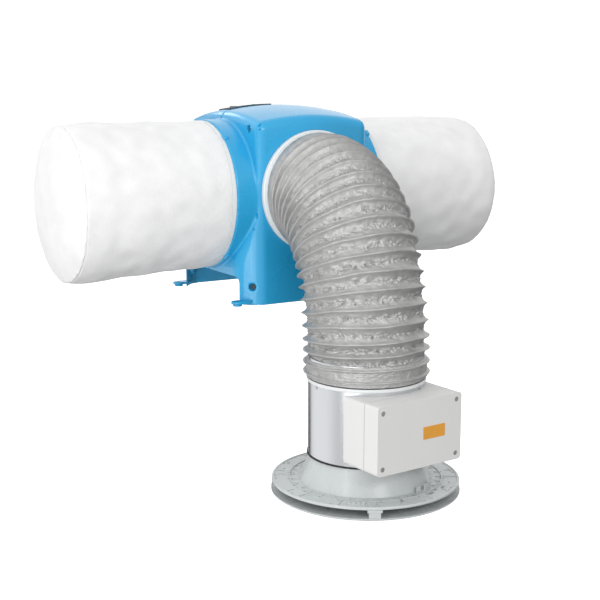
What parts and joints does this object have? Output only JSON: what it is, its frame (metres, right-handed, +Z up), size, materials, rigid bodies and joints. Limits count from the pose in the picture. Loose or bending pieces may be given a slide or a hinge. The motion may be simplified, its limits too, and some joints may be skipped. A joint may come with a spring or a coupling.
{
  "type": "loft ventilation supply unit",
  "caption": "Loft fan unit that draws air through two cylindrical bag filters and blows it down a flexible duct, past an electric heater tube, to a round ceiling diffuser.",
  "frame": {"origin": "centre of the four foot holes, on the plane the feet stand on", "axes": "+X along the two filters, towards the right one; -Y out of the housing's front towards the duct; +Z up, away from the feet"},
  "size_m": [0.888, 0.627, 0.6437],
  "materials": {
    "blue_plastic": "semi-gloss moulded",
    "white_plastic": "satin moulded",
    "diffuser_plastic": "satin moulded",
    "box_plastic": "fine matt moulded",
    "filter_cloth": "needled white felt",
    "duct_cloth": "creased coated cloth with a dull sheen",
    "galvanised": "rolled zinc coated sheet",
    "wire_steel": "drawn wire",
    "screw_steel": "zinc plated",
    "black_rubber": "matt",
    "black_plastic": "fine matt",
    "grey_plastic": "fine matt",
    "lens_green": "clear tinted",
    "board": "solder mask",
    "amber_label": "printed film without lettering"
  },
  "bodies": {
    "housing": {"front_shell": "blue_plastic", "rear_shell": "blue_plastic", "base_plate": "grey_plastic", "shell_screws": "black_plastic", "control_panel": "black_plastic", "indicator_lens": "lens_green", "outlet_spigot": "white_plastic", "outlet_plate": "galvanised", "duct": "duct_cloth", "duct_wire": "wire_steel", "scroll_housing": "galvanised", "left_inlet_ring": "black_plastic", "right_inlet_ring": "black_plastic", "fan_mounts": "black_rubber", "motor_stator": "galvanised", "motor_bearings": "screw_steel", "motor_bracket": "galvanised", "bracket_bushes": "black_rubber", "control_board": "board", "mains_terminal_block": "white_plastic", "housing_gland": "black_plastic"},
    "fan_wheel": {"impeller": "black_plastic", "motor_rotor": "galvanised", "motor_shaft": "screw_steel"},
    "left_filter": {"left_filter_ring": "white_plastic", "left_filter_bag": "filter_cloth", "left_filter_cage": "wire_steel"},
    "right_filter": {"right_filter_ring": "white_plastic", "right_filter_bag": "filter_cloth", "right_filter_cage": "wire_steel"},
    "heater_and_diffuser": {"heater_tube": "galvanised", "lower_duct_clamp": "screw_steel", "tube_screws": "screw_steel", "heater_element": "wire_steel", "element_bracket": "galvanised", "thermostat": "black_plastic", "heater_box": "box_plastic", "lid_gasket": "black_rubber", "heater_box_lid": "box_plastic", "lid_screws": "grey_plastic", "box_label": "amber_label", "box_gland": "black_plastic", "box_terminal_block": "white_plastic", "neck_seal": "black_rubber", "diffuser_flange": "diffuser_plastic"},
    "baffle": {"diffuser_disc": "diffuser_plastic", "disc_clips": "diffuser_plastic"},
    "button": {"speed_button": "grey_plastic"}
  },
  "joints": [
    {"name": "impeller_spin", "type": "hinge", "parent": "housing", "child": "fan_wheel", "pos_m": [0, 0.012, 0.17], "axis": [1, 0, 0], "continuous": true},
    {"name": "left_filter_pull", "type": "slide", "parent": "housing", "child": "left_filter", "axis": [-1, 0, 0], "range_m": [0, 0.12]},
    {"name": "right_filter_pull", "type": "slide", "parent": "housing", "child": "right_filter", "axis": [1, 0, 0], "range_m": [0, 0.12]},
    {"name": "duct_stretch", "type": "slide", "parent": "housing", "child": "heater_and_diffuser", "axis": [0, 0, -1], "range_m": [-0.03, 0.08], "deforming": ["duct", "duct_wire"]},
    {"name": "baffle_pull", "type": "slide", "parent": "heater_and_diffuser", "child": "baffle", "axis": [0, 0, -1], "range_m": [0, 0.03]},
    {"name": "speed_button_press", "type": "slide", "parent": "housing", "child": "button", "axis": [0, 0, -1], "range_m": [0, 0.0015], "stiffness_N_per_m": 800}
  ]
}
